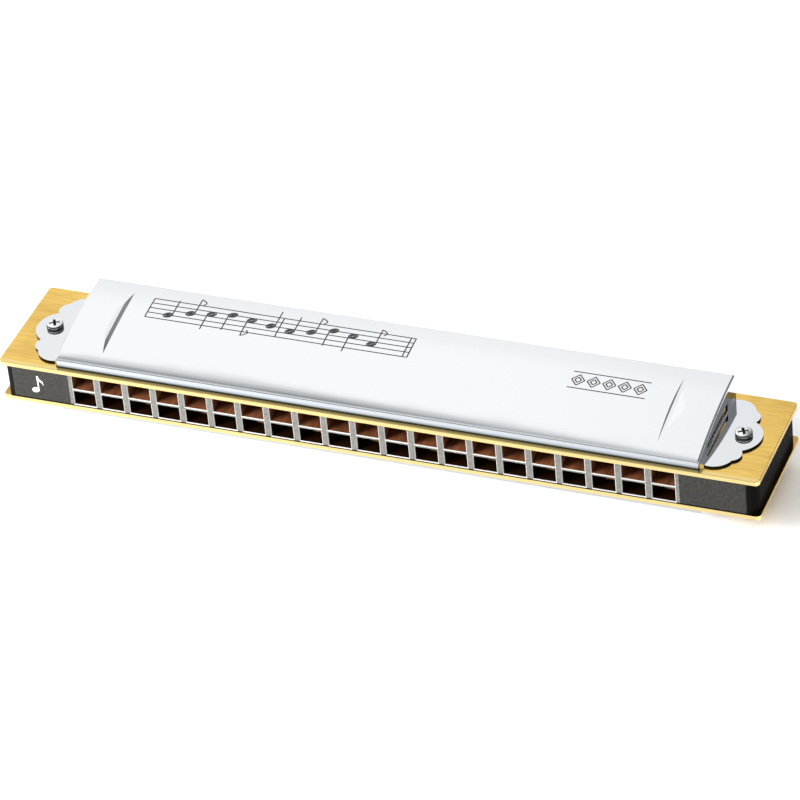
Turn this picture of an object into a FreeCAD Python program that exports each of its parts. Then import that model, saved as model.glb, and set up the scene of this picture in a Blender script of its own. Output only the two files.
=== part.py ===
import FreeCAD, Part

import math
import os

import Sketcher

# Tremolo harmonica, two rows of mouth holes.
# Frame: +Z up, the mouth side faces -Y, low notes at -X. The origin is under the middle of the
# instrument, at the lowest line of the lower cover.

Vector = FreeCAD.Vector

# Driving dimensions in millimetres (counts are plain numbers).
SIZES = (
    ("hole_count", 21, "columns of mouth holes"),
    ("hole_pitch", 6.5, "from one column to the next"),
    ("hole_width", 5.0, "width of one mouth hole and of its chamber"),
    ("hole_shift", 0.6, "how far the row of holes stands off centre, towards the low notes"),
    ("comb_height", 7.9, "comb, from plate to plate"),
    ("comb_end", 16.8, "solid wood beyond the row of holes"),
    ("comb_corner", 2.7, "rounding of the comb's upright corners"),
    ("comb_setback", 0.2, "how far the comb's front stands behind the plates"),
    ("divider_thick", 0.6, "web between the two rows"),
    ("sill_thick", 0.3, "wood above and below the mouth holes"),
    ("mouth_bevel", 0.18, "bevel around each mouth hole"),
    ("back_wall", 3.3, "wood behind the longest chamber"),
    ("chamber_lead", 0.6, "free room before and behind a reed in its chamber"),
    ("plate_depth", 28.0, "reed plate, front to back"),
    ("plate_overhang", 0.7, "reed plate beyond the comb's end"),
    ("plate_thick", 1.0, "reed plate"),
    ("plate_corner", 1.0, "rounding of the plate's corners in plan"),
    ("plate_edge", 0.12, "rounding of the plate's outer edge"),
    ("slot_inset", 4.5, "from the plate's front edge to the reed slots"),
    ("slot_step", 0.35, "how much shorter each slot is than the one before"),
    ("reed_width", 2.4, "reed tongue"),
    ("reed_thick", 0.22, "reed tongue"),
    ("side_gap", 0.05, "between a tongue and the sides of its slot"),
    ("root_gap", 0.05, "between a tongue and its pad"),
    ("tip_gap", 0.1, "between a tongue's tip and the end of its slot"),
    ("pad_length", 2.6, "riveted end of a reed"),
    ("pad_width", 3.2, "riveted end of a reed"),
    ("pad_thick", 0.35, "riveted end of a reed"),
    ("rivet_radius", 0.6, "rivet shank"),
    ("rivet_head_radius", 1.0, "rivet head"),
    ("rivet_head_high", 0.35, "rivet head"),
    ("cover_margin", 4.5, "cover beyond the row of holes"),
    ("cover_height", 5.75, "cover above its plate, along the back"),
    ("lip_height", 1.6, "cover above its plate, along the front"),
    ("lip_lean", 0.35, "how far the lip leans back over its height"),
    ("cover_front", 1.1, "from the plate's front edge to the cover's lip"),
    ("cover_back", 1.53, "from the plate's back edge to the cover's back edge"),
    ("cover_roll", 0.55, "rounding between the lip and the top"),
    ("cover_end_roll", 0.45, "rounding between the top and the end walls"),
    ("sheet_thick", 0.5, "cover sheet"),
    ("hem_width", 1.5, "folded hem along the cover's back edge"),
    ("hem_thick", 0.4, "folded hem along the cover's back edge"),
    ("ear_reach", 9.6, "ear beyond the cover's end"),
    ("ear_inset", 1.3, "from the cover's corners to the ear's root"),
    ("ear_bend", 0.35, "rounding between the end wall and the ear"),
    ("vent_inset", 5.6, "from the cover's corners to the vent in its end wall"),
    ("vent_height", 1.8, "vent in the end wall, at its back end"),
    ("vent_taper", 0.7, "how much lower the vent is at its front end"),
    ("crease_inset", 10.2, "from the cover's end to the crest of the pressed crease"),
    ("crease_width", 2.8, "ramp of the pressed crease"),
    ("crease_depth", 0.3, "pressed crease at its deepest"),
    ("crease_length", 18.7, "pressed crease, front to back"),
    ("screw_reach", 5.6, "from the cover's end to the screw"),
    ("screw_head_radius", 1.85, "cover screw head"),
    ("screw_head_high", 1.15, "cover screw head"),
    ("screw_head_edge", 0.3, "rounding of the screw head"),
    ("screw_radius", 0.9, "cover screw shank"),
    ("screw_bite", 2.4, "length of the screw in the wood"),
    ("recess_width", 0.5, "arm of the cross recess"),
    ("recess_span", 2.3, "cross recess, tip to tip"),
    ("recess_depth", 0.6, "cross recess"),
    ("nail_radius", 0.45, "plate nail shank"),
    ("nail_head_radius", 0.85, "plate nail head"),
    ("nail_head_high", 0.25, "plate nail head"),
    ("nail_bite", 2.6, "length of the nail in the wood"),
    ("nail_inset", 1.7, "from the plate's back edge to the row of nails"),
    ("nail_count", 6, "nails along the back of each plate"),
)

# Derived sizes, as expressions of the sheet's cells.
ROW = "((Sizes.hole_count - 1) * Sizes.hole_pitch + Sizes.hole_width)"
FIRST_X = f"(-Sizes.hole_shift - {ROW} / 2 + Sizes.hole_width / 2)"
COMB_LENGTH = f"({ROW} + 2 * Sizes.comb_end)"
PLATE_LENGTH = f"({COMB_LENGTH} + 2 * Sizes.plate_overhang)"
COVER_LENGTH = f"({ROW} + 2 * Sizes.cover_margin)"
HALF_DEPTH = "(Sizes.plate_depth / 2)"
COMB_FRONT = f"(-{HALF_DEPTH} + Sizes.comb_setback)"
SLOT_FRONT = f"(-{HALF_DEPTH} + Sizes.slot_inset)"
CHAMBER_FRONT = f"({SLOT_FRONT} - Sizes.chamber_lead)"
FIRST_CHAMBER_BACK = f"({HALF_DEPTH} - Sizes.back_wall)"
FIRST_SLOT_LENGTH = f"({FIRST_CHAMBER_BACK} - Sizes.chamber_lead - Sizes.pad_length - {SLOT_FRONT})"
SLOT_WIDTH = "(Sizes.reed_width + 2 * Sizes.side_gap)"
PLATE_INNER = "(Sizes.comb_height / 2)"
PLATE_OUTER = f"({PLATE_INNER} + Sizes.plate_thick)"
MIDDLE_Z = f"(Sizes.cover_height + {PLATE_OUTER})"
COVER_FRONT = f"(-{HALF_DEPTH} + Sizes.cover_front)"
COVER_BACK = f"({HALF_DEPTH} - Sizes.cover_back)"
COVER_DEPTH = f"({COVER_BACK} - {COVER_FRONT})"
COVER_DROP = "(Sizes.cover_height - Sizes.lip_height)"
ARCH_RADIUS = f"(({COVER_DEPTH} ^ 2 + {COVER_DROP} ^ 2) / (2 * {COVER_DROP}))"
SCREW_X = f"({COVER_LENGTH} / 2 + Sizes.screw_reach)"

# The crease's outer ramp, steep beside its bed: shares of its width and depth.
CREASE_RAMP = ((0.3, 0.62), (0.62, 0.88), (1, 1))

# Scalloped outline of an ear: shares of its reach from the cover's end and of its half width.
EAR_ROOT = (0.06, 1.0)
EAR_SHOULDER = (0.43, 0.95)
EAR_FIRST_NOTCH = (0.6, 0.755)
EAR_SMALL_LOBE = (0.745, 0.615)
EAR_SECOND_NOTCH = (0.7, 0.435)
EAR_TIP = (1.0, 0.0)

doc = FreeCAD.newDocument("harmonica")
sheet = doc.addObject("Spreadsheet::Sheet", "Sizes")
pieces = []


def fill_sheet():
    """Write the driving dimensions, one row each: value, alias, meaning."""
    for row, (alias, number, meaning) in enumerate(SIZES, start=1):
        sheet.set(f"A{row}", str(number))
        sheet.setAlias(f"A{row}", alias)
        sheet.set(f"B{row}", f"'{alias}: {meaning}")
    doc.recompute()


def value(expression):
    """The number that an expression of the sheet's cells stands for."""
    return float(sheet.evalExpression(expression))


def keep(piece, label):
    """Name a finished sub-part and list it for writing."""
    piece.Label = label
    pieces.append(piece)
    return piece


def bind(thing, **sizes):
    """Bind properties of an object to expressions."""
    for name, expression in sizes.items():
        thing.setExpression(name, expression)


def place(thing, x="0", y="0", z="0"):
    """Bind an object's place to expressions."""
    thing.setExpression(".Placement.Base.x", x)
    thing.setExpression(".Placement.Base.y", y)
    thing.setExpression(".Placement.Base.z", z)


def box(name, length, width, height, x, y, z):
    """A box centred on x, from y backwards and from z upwards."""
    piece = doc.addObject("Part::Box", name)
    bind(piece, Length=length, Width=width, Height=height)
    place(piece, f"{x} - {length} / 2", y, z)
    return piece


def cylinder(name, radius, height, x, y, z):
    """An upright cylinder standing on z."""
    piece = doc.addObject("Part::Cylinder", name)
    bind(piece, Radius=radius, Height=height)
    place(piece, x, y, z)
    return piece


def fuse(name, shapes):
    """Several objects as one solid."""
    piece = doc.addObject("Part::MultiFuse", name)
    piece.Shapes = shapes
    return piece


def group(name, shapes):
    """Several objects kept as separate solids."""
    piece = doc.addObject("Part::Compound", name)
    piece.Links = shapes
    return piece


def cut(name, base, tool):
    """One object less another."""
    piece = doc.addObject("Part::Cut", name)
    piece.Base = base
    piece.Tool = tool
    return piece


def side_z(side, low, high):
    """Lowest Z of something that spans low to high, counted outwards from the comb's middle."""
    if side == "upper":
        return f"{MIDDLE_Z} + {low}"
    return f"{MIDDLE_Z} - {high}"


def column_x(index):
    """X of a column of holes, counted from 0 at the low notes."""
    return f"({FIRST_X} + {index} * Sizes.hole_pitch)"


def slot_length(index):
    """Length of a column's reed slot."""
    return f"({FIRST_SLOT_LENGTH} - {index} * Sizes.slot_step)"


def is_blow(index):
    """Blow reeds sit on the chamber side of the plate, draw reeds on the cover side."""
    return index % 2 == 0


def columns():
    """Indices of the columns of holes."""
    return range(int(value("Sizes.hole_count")))


def nail_places():
    """Centres of the nails along the back of a plate, and one at each end of its front."""
    count = int(value("Sizes.nail_count"))
    back = f"({HALF_DEPTH} - Sizes.nail_inset)"
    spots = []
    for index in range(count):
        spots.append((f"({COVER_LENGTH} * ({index + 0.5} / {count} - 0.5))", back))
    end = f"({COVER_LENGTH} / 2 - 2 * Sizes.nail_head_radius)"
    spots.append((f"-{end}", SLOT_FRONT))
    spots.append((end, SLOT_FRONT))
    return spots


def origin_part(body, role):
    """One of a body's own origin planes or axes."""
    for feature in body.Origin.OriginFeatures:
        if feature.Role == role:
            return feature
    raise ValueError(role)


def new_sketch(body, name, role, offset="0"):
    """A sketch on one of the body's origin planes, moved along the plane's normal."""
    sketch = body.newObject("Sketcher::SketchObject", name)
    sketch.AttachmentSupport = [(origin_part(body, role), "")]
    sketch.MapMode = "FlatFace"
    sketch.setExpression(".AttachmentOffset.Base.z", offset)
    return sketch


def pin(sketch, geometry, end, x, y):
    """Hold a point of the sketch at x, y from the sketch's origin."""
    for kind, expression in (("DistanceX", x), ("DistanceY", y)):
        rule = Sketcher.Constraint(kind, -1, 1, geometry, end, value(expression))
        number = sketch.addConstraint(rule)
        sketch.setExpression(f"Constraints[{number}]", expression)


def polygon(sketch, corners):
    """A closed outline of straight lines through the corners."""
    points = [Vector(value(x), value(y), 0) for x, y in corners]
    lines = []
    for start, end in zip(points, points[1:] + points[:1]):
        lines.append(sketch.addGeometry(Part.LineSegment(start, end)))
    for line, following in zip(lines, lines[1:] + lines[:1]):
        sketch.addConstraint(Sketcher.Constraint("Coincident", line, 2, following, 1))
    for line, (x, y) in zip(lines, corners):
        pin(sketch, line, 1, x, y)


def rectangle(sketch, x0, x1, y0, y1):
    """A rectangle between two pairs of sides."""
    polygon(sketch, ((x0, y0), (x1, y0), (x1, y1), (x0, y1)))


def pad(body, name, sketch, length, midplane=True):
    """Add the sketch's outline, half to each side of its plane or all along its normal."""
    feature = body.newObject("PartDesign::Pad", name)
    feature.Profile = sketch
    feature.Midplane = midplane
    feature.setExpression("Length", length)
    return feature


def pocket(body, name, sketch, length, midplane=False):
    """Cut the sketch's outline, against its plane's normal or half to each side."""
    feature = body.newObject("PartDesign::Pocket", name)
    feature.Profile = sketch
    feature.Midplane = midplane
    feature.setExpression("Length", length)
    return feature


def repeat_columns(body, name, features):
    """Repeat cuts for every column of holes."""
    pattern = body.newObject("PartDesign::LinearPattern", name)
    pattern.Originals = features
    pattern.Direction = (origin_part(body, "X_Axis"), [""])
    bind(pattern, Length="(Sizes.hole_count - 1) * Sizes.hole_pitch", Occurrences="Sizes.hole_count")
    body.Tip = pattern
    return pattern


def check_cut(before, after, name):
    """A cut must take material away."""
    if after.Shape.Volume >= before.Shape.Volume - 1e-6:
        raise ValueError(f"{name} cuts nothing")


def upright_edges(shape):
    """Names of a shape's straight edges that run along Z."""
    names = []
    for number, edge in enumerate(shape.Edges, start=1):
        size = edge.BoundBox
        if size.XLength < 1e-6 and size.YLength < 1e-6:
            names.append(f"Edge{number}")
    return names


def comb_block():
    """The wood block: chambers cut right through, a web that parts the rows, mouth holes in front."""
    body = doc.addObject("PartDesign::Body", "comb_block")
    outline = new_sketch(body, "comb_outline", "XY_Plane")
    half = f"({COMB_LENGTH} / 2)"
    rectangle(outline, f"-{half}", half, COMB_FRONT, HALF_DEPTH)
    block = pad(body, "comb_pad", outline, "Sizes.comb_height")
    doc.recompute()
    corners = body.newObject("PartDesign::Fillet", "comb_corners")
    corners.Base = (block, upright_edges(block.Shape))
    corners.setExpression("Radius", "Sizes.comb_corner")
    doc.recompute()

    left = f"({FIRST_X} - Sizes.hole_width / 2)"
    right = f"({FIRST_X} + Sizes.hole_width / 2)"
    row_end = f"({left} + {ROW})"
    chamber_outline = new_sketch(body, "chamber_outline", "XY_Plane")
    rectangle(chamber_outline, left, right, CHAMBER_FRONT, FIRST_CHAMBER_BACK)
    chamber = pocket(body, "chamber", chamber_outline, "Sizes.comb_height + 2", midplane=True)
    chambers = repeat_columns(body, "chambers", [chamber])
    doc.recompute()
    check_cut(corners, chambers, "chambers")

    # The chambers grow shorter towards the high notes: a wedge of wood fills their back ends.
    slope = "Sizes.slot_step / Sizes.hole_pitch"
    start_x = f"({left} - 1)"
    end_x = f"({row_end} + 1)"
    wedge_back = f"({FIRST_CHAMBER_BACK} + 1)"
    wedge_outline = new_sketch(body, "wedge_outline", "XY_Plane")
    polygon(wedge_outline, (
        (start_x, f"{FIRST_CHAMBER_BACK} - ({start_x} - {FIRST_X}) * {slope}"),
        (end_x, f"{FIRST_CHAMBER_BACK} - ({end_x} - {FIRST_X}) * {slope}"),
        (end_x, wedge_back),
        (start_x, wedge_back),
    ))
    pad(body, "wedge", wedge_outline, "Sizes.comb_height")
    web_outline = new_sketch(body, "web_outline", "XY_Plane")
    rectangle(web_outline, start_x, end_x, f"{CHAMBER_FRONT} - 1", wedge_back)
    web = pad(body, "web", web_outline, "Sizes.divider_thick")
    body.Tip = web
    doc.recompute()

    low = "(Sizes.divider_thick / 2)"
    high = "(Sizes.comb_height / 2 - Sizes.sill_thick)"
    bevel = "Sizes.mouth_bevel"
    mouth_outline = new_sketch(body, "mouth_outline", "XZ_Plane", f"-{COMB_FRONT}")
    bevel_outline = new_sketch(body, "bevel_outline", "XZ_Plane", f"-{COMB_FRONT}")
    for sign in ("", "-"):
        rectangle(mouth_outline, left, right, f"{sign}{low}", f"{sign}{high}")
        rectangle(bevel_outline, f"{left} - {bevel}", f"{right} + {bevel}",
                  f"{sign}({low} - {bevel})", f"{sign}({high} + {bevel})")
    mouth = pocket(body, "mouth", mouth_outline, f"{CHAMBER_FRONT} - {COMB_FRONT} + 0.1")
    mouth_edge = pocket(body, "mouth_edge", bevel_outline, bevel)
    mouth_edge.TaperAngle = -45
    mouths = repeat_columns(body, "mouths", [mouth, mouth_edge])
    doc.recompute()
    check_cut(web, mouths, "mouths")
    place(body, z=MIDDLE_Z)
    return body


def fastener_bores(side, screw_from, screw_to, nail_from, nail_to):
    """Bores for one side's screws and nails, between two levels counted from the comb's middle."""
    bores = []
    for name, sign in (("left", "-"), ("right", "")):
        bores.append(cylinder(f"{side}_bore_{name}", "Sizes.screw_radius", f"{screw_to} - {screw_from}",
                              f"{sign}{SCREW_X}", "0", side_z(side, screw_from, screw_to)))
    for index, (x, y) in enumerate(nail_places()):
        bores.append(cylinder(f"{side}_nail_bore_{index}", "Sizes.nail_radius", f"{nail_to} - {nail_from}",
                              x, y, side_z(side, nail_from, nail_to)))
    return bores


def comb():
    """The comb with the blind bores that its screws and nails sit in."""
    bores = []
    for side in ("upper", "lower"):
        screw_end = f"({PLATE_INNER} - Sizes.screw_bite)"
        nail_end = f"({PLATE_INNER} - Sizes.nail_bite)"
        bores += fastener_bores(side, screw_end, PLATE_INNER, nail_end, PLATE_INNER)
    keep(cut("comb_cut", comb_block(), group("comb_bores", bores)), "comb")


def rivet_y(index):
    """Y of the middle of a reed's pad: behind the slot for a blow reed, before it for a draw reed."""
    if is_blow(index):
        return f"({SLOT_FRONT} + {slot_length(index)} + Sizes.pad_length / 2)"
    return f"({SLOT_FRONT} - Sizes.pad_length / 2)"


def reed_plate(side):
    """A brass plate with one slot for each reed, and holes for rivets, screws and nails."""
    blank = doc.addObject("Part::Box", f"{side}_blank")
    bind(blank, Length=PLATE_LENGTH, Width="Sizes.plate_depth", Height="Sizes.plate_thick")
    bottom = side_z(side, PLATE_INNER, PLATE_OUTER)
    place(blank, f"-{PLATE_LENGTH} / 2", f"-{HALF_DEPTH}", bottom)
    doc.recompute()
    rounded = doc.addObject("Part::Fillet", f"{side}_rounded")
    rounded.Base = blank
    corner = value("Sizes.plate_corner")
    rounded.Edges = [(int(name[4:]), corner, corner) for name in upright_edges(blank.Shape)]
    doc.recompute()
    eased = doc.addObject("Part::Fillet", f"{side}_eased")
    eased.Base = rounded
    edge_size = value("Sizes.plate_edge")
    level = value(side_z(side, PLATE_OUTER, PLATE_OUTER))
    eased.Edges = [(number, edge_size, edge_size)
                   for number, edge in enumerate(rounded.Shape.Edges, start=1)
                   if abs(edge.BoundBox.ZMin - level) < 1e-6 and edge.BoundBox.ZLength < 1e-6]
    doc.recompute()
    cuts = fastener_bores(side, PLATE_INNER, PLATE_OUTER, PLATE_INNER, PLATE_OUTER)
    for index in columns():
        x = column_x(index)
        cuts.append(box(f"{side}_slot_{index}", SLOT_WIDTH, slot_length(index), "Sizes.plate_thick",
                        x, SLOT_FRONT, bottom))
        cuts.append(cylinder(f"{side}_rivet_bore_{index}", "Sizes.rivet_radius", "Sizes.plate_thick",
                             x, rivet_y(index), bottom))
    keep(cut(f"{side}_plate_cut", eased, group(f"{side}_plate_cuts", cuts)), f"reed_plate_{side}")


def reed(side, index):
    """A reed's tongue: over its slot, fixed at the back when it is a blow reed."""
    length = f"({slot_length(index)} - Sizes.root_gap - Sizes.tip_gap)"
    if is_blow(index):
        front = f"{SLOT_FRONT} + Sizes.tip_gap"
        bottom = side_z(side, f"({PLATE_INNER} - Sizes.reed_thick)", PLATE_INNER)
    else:
        front = f"{SLOT_FRONT} + Sizes.root_gap"
        bottom = side_z(side, PLATE_OUTER, f"({PLATE_OUTER} + Sizes.reed_thick)")
    tongue = box(f"{side}_tongue_{index}", "Sizes.reed_width", length, "Sizes.reed_thick",
                 column_x(index), front, bottom)
    keep(tongue, f"reed_{side}_{index + 1:02d}")


def rivet_span(index, part):
    """From and to, counted outwards from the comb's middle, of a pad, a shank or a rivet's head."""
    if is_blow(index):
        pad_face = f"({PLATE_INNER} - Sizes.pad_thick)"
        head_face = f"({pad_face} - Sizes.rivet_head_high)"
        spans = {"pad": (pad_face, PLATE_INNER), "shank": (pad_face, PLATE_OUTER),
                 "head": (head_face, pad_face)}
    else:
        pad_face = f"({PLATE_OUTER} + Sizes.pad_thick)"
        head_face = f"({pad_face} + Sizes.rivet_head_high)"
        spans = {"pad": (PLATE_OUTER, pad_face), "shank": (PLATE_INNER, pad_face),
                 "head": (pad_face, head_face)}
    return spans[part]


def reed_pads(side):
    """The riveted ends of one plate's reeds, each bored for its rivet."""
    pads = []
    bores = []
    for index in columns():
        low, high = rivet_span(index, "pad")
        bottom = side_z(side, low, high)
        x = column_x(index)
        pads.append(box(f"{side}_pad_{index}", "Sizes.pad_width", "Sizes.pad_length", "Sizes.pad_thick",
                        x, f"{rivet_y(index)} - Sizes.pad_length / 2", bottom))
        bores.append(cylinder(f"{side}_pad_bore_{index}", "Sizes.rivet_radius", "Sizes.pad_thick",
                              x, rivet_y(index), bottom))
    keep(cut(f"{side}_pads_cut", group(f"{side}_pads", pads), group(f"{side}_pad_bores", bores)),
         f"reed_pads_{side}")


def rivets(side):
    """One rivet for each reed: a head on the pad, and a shank flush with the plate's far face."""
    made = []
    for index in columns():
        halves = []
        for part, radius in (("shank", "Sizes.rivet_radius"), ("head", "Sizes.rivet_head_radius")):
            low, high = rivet_span(index, part)
            halves.append(cylinder(f"{side}_rivet_{part}_{index}", radius, f"{high} - {low}",
                                   column_x(index), rivet_y(index), side_z(side, low, high)))
        made.append(fuse(f"{side}_rivet_{index}", halves))
    keep(group(f"{side}_rivets", made), f"rivets_{side}")


def plate_nails(side):
    """Nails that hold a plate on the comb."""
    made = []
    tip = f"({PLATE_INNER} - Sizes.nail_bite)"
    top = f"({PLATE_OUTER} + Sizes.nail_head_high)"
    for index, (x, y) in enumerate(nail_places()):
        shank = cylinder(f"{side}_nail_shank_{index}", "Sizes.nail_radius", f"{PLATE_OUTER} - {tip}",
                         x, y, side_z(side, tip, PLATE_OUTER))
        head = cylinder(f"{side}_nail_head_{index}", "Sizes.nail_head_radius", "Sizes.nail_head_high",
                        x, y, side_z(side, PLATE_OUTER, top))
        made.append(fuse(f"{side}_nail_{index}", [shank, head]))
    keep(group(f"{side}_nails", made), f"plate_nails_{side}")


def cover_screw(side, name, x):
    """A cheese-head screw with a cross recess, through the ear and the plate into the comb."""
    seat = f"({PLATE_OUTER} + Sizes.sheet_thick)"
    top = f"({seat} + Sizes.screw_head_high)"
    tip = f"({PLATE_INNER} - Sizes.screw_bite)"
    head = cylinder(f"{side}_{name}_head", "Sizes.screw_head_radius", "Sizes.screw_head_high",
                    x, "0", side_z(side, seat, top))
    doc.recompute()
    eased = doc.addObject("Part::Fillet", f"{side}_{name}_eased")
    eased.Base = head
    level = value(side_z(side, top, top))
    edge_size = value("Sizes.screw_head_edge")
    eased.Edges = [(number, edge_size, edge_size)
                   for number, edge in enumerate(head.Shape.Edges, start=1)
                   if abs(edge.BoundBox.ZMin - level) < 1e-6 and edge.BoundBox.ZLength < 1e-6]
    shank = cylinder(f"{side}_{name}_shank", "Sizes.screw_radius", f"{seat} - {tip}",
                     x, "0", side_z(side, tip, seat))
    floor = f"({top} - Sizes.recess_depth)"
    arms = []
    for arm, (length, width) in enumerate((("Sizes.recess_span", "Sizes.recess_width"),
                                           ("Sizes.recess_width", "Sizes.recess_span"))):
        arms.append(box(f"{side}_{name}_arm_{arm}", length, width, "Sizes.recess_depth",
                        x, f"-{width} / 2", side_z(side, floor, top)))
    whole = fuse(f"{side}_{name}_blank", [eased, shank])
    return cut(f"{side}_{name}_screw", whole, fuse(f"{side}_{name}_recess", arms))


def cover_screws(side):
    """The two screws of one cover."""
    made = [cover_screw(side, "left", f"-{SCREW_X}"), cover_screw(side, "right", SCREW_X)]
    keep(group(f"{side}_screws", made), f"cover_screws_{side}")


def cover_profile(body, name, inset):
    """The cover's section: a lip in front and an arch that is level at the back edge."""
    front = f"({COVER_FRONT} + {inset})"
    back = f"({COVER_BACK} + 1)" if inset != "0" else COVER_BACK
    floor = "-1" if inset != "0" else "0"
    foot_y = f"({front} + Sizes.lip_lean * {floor} / Sizes.lip_height)"
    top_y = f"({front} + Sizes.lip_lean)"
    radius = f"({ARCH_RADIUS} - {inset})"
    centre_z = f"(Sizes.cover_height - {ARCH_RADIUS})"
    front_z = f"({centre_z} + sqrt({radius} ^ 2 - ({COVER_BACK} - {top_y}) ^ 2))"
    back_z = f"({centre_z} + sqrt({radius} ^ 2 - ({COVER_BACK} - {back}) ^ 2))"
    sketch = new_sketch(body, name, "YZ_Plane")
    corners = [(foot_y, floor), (top_y, front_z), (back, back_z), (back, floor)]
    points = [Vector(value(y), value(z), 0) for y, z in corners]
    centre = Vector(value(COVER_BACK), value(centre_z), 0)
    size = value(radius)
    start = math.atan2(points[2].y - centre.y, points[2].x - centre.x)
    end = math.atan2(points[1].y - centre.y, points[1].x - centre.x)
    arch = sketch.addGeometry(Part.ArcOfCircle(Part.Circle(centre, Vector(0, 0, 1), size), start, end))
    lip = sketch.addGeometry(Part.LineSegment(points[1], points[0]))
    base = sketch.addGeometry(Part.LineSegment(points[0], points[3]))
    rear = sketch.addGeometry(Part.LineSegment(points[3], points[2]))
    for first, first_end, second, second_end in ((arch, 2, lip, 1), (lip, 2, base, 1),
                                                 (base, 2, rear, 1), (rear, 2, arch, 1)):
        sketch.addConstraint(Sketcher.Constraint("Coincident", first, first_end, second, second_end))
    pin(sketch, lip, 1, top_y, front_z)
    pin(sketch, lip, 2, foot_y, floor)
    pin(sketch, base, 2, back, floor)
    pin(sketch, rear, 2, back, back_z)
    number = sketch.addConstraint(Sketcher.Constraint("Radius", arch, size))
    sketch.setExpression(f"Constraints[{number}]", radius)
    return sketch


def ear_outline(body):
    """The scalloped ear: a broad middle lobe and two smaller ones on each side of it."""
    sketch = new_sketch(body, "ear_outline", "XY_Plane")
    half_width = f"({COVER_DEPTH} / 2 - Sizes.ear_inset)"
    middle_y = f"(({COVER_FRONT} + {COVER_BACK}) / 2)"

    def spot(share, sign):
        x = f"({COVER_LENGTH} / 2 + {share[0]} * Sizes.ear_reach)"
        return x, f"({middle_y} + {sign * share[1]} * {half_width})"

    inner_x = f"({COVER_LENGTH} / 2 - Sizes.sheet_thick / 2)"
    knots = [spot(EAR_ROOT, 1), spot(EAR_FIRST_NOTCH, 1), spot(EAR_SECOND_NOTCH, 1),
             spot(EAR_SECOND_NOTCH, -1), spot(EAR_FIRST_NOTCH, -1), spot(EAR_ROOT, -1)]
    crowns = [spot(EAR_SHOULDER, 1), spot(EAR_SMALL_LOBE, 1), spot(EAR_TIP, 1),
              spot(EAR_SMALL_LOBE, -1), spot(EAR_SHOULDER, -1)]
    knot_points = [Vector(value(x), value(y), 0) for x, y in knots]
    crown_points = [Vector(value(x), value(y), 0) for x, y in crowns]
    lobes = []
    for start, crown, end in zip(knot_points, crown_points, knot_points[1:]):
        lobes.append(sketch.addGeometry(Part.Arc(start, crown, end)))
    edges = [(inner_x, knots[-1][1]), (inner_x, knots[0][1])]
    edge_points = [Vector(value(x), value(y), 0) for x, y in edges]
    chain = [knot_points[-1], edge_points[0], edge_points[1], knot_points[0]]
    for start, end in zip(chain, chain[1:]):
        sketch.addGeometry(Part.LineSegment(start, end))
    for lobe in lobes:
        sketch.addConstraint(Sketcher.Constraint("Block", lobe))
    return sketch


def vent_outline(body):
    """The vent at the foot of the end wall, a little lower towards the front."""
    front = f"({COVER_FRONT} + Sizes.vent_inset)"
    back = f"({COVER_BACK} - Sizes.vent_inset)"
    foot = "(Sizes.sheet_thick + Sizes.ear_bend)"
    sketch = new_sketch(body, "vent_outline", "YZ_Plane", f"{COVER_LENGTH} / 2")
    polygon(sketch, (
        (front, foot),
        (back, foot),
        (back, f"{foot} + Sizes.vent_height"),
        (front, f"{foot} + Sizes.vent_height - Sizes.vent_taper"),
    ))
    return sketch


def crease_groove(body):
    """The pressed crease: a shallow groove that turns about a far axis under the cover."""
    middle_y = f"(({COVER_FRONT} + {COVER_BACK}) / 2)"
    half = "(Sizes.crease_length / 2)"
    bed_radius = f"(1 / (1 / {ARCH_RADIUS} - 2 * Sizes.crease_depth / {half} ^ 2))"
    reach = f"({bed_radius} + Sizes.crease_depth - {ARCH_RADIUS})"
    lean = f"(({COVER_BACK} - {middle_y}) / {ARCH_RADIUS})"
    axis_y = f"({COVER_BACK} + {reach} * {lean})"
    axis_z = f"(Sizes.cover_height - {ARCH_RADIUS} - {reach} * sqrt(1 - {lean} ^ 2))"
    sketch = new_sketch(body, "crease_section", "XZ_Plane", f"-{axis_y}")
    sketch.setExpression(".AttachmentOffset.Base.y", axis_z)
    crest = f"({COVER_LENGTH} / 2 - Sizes.crease_inset)"
    polygon(sketch, (
        (f"{crest} + Sizes.crease_depth", bed_radius),
        *((f"{crest} + Sizes.crease_depth + {across} * Sizes.crease_width",
           f"{bed_radius} + {up} * Sizes.crease_depth") for across, up in CREASE_RAMP),
        (f"{crest} + Sizes.crease_depth + Sizes.crease_width", f"{bed_radius} + 4 * Sizes.crease_depth"),
        (crest, f"{bed_radius} + 4 * Sizes.crease_depth"),
        (crest, f"{bed_radius} + Sizes.crease_depth"),
    ))
    groove = body.newObject("PartDesign::Groove", "crease")
    groove.Profile = sketch
    groove.ReferenceAxis = (sketch, ["H_Axis"])
    groove.Midplane = True
    groove.Angle = 60
    return groove


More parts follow.
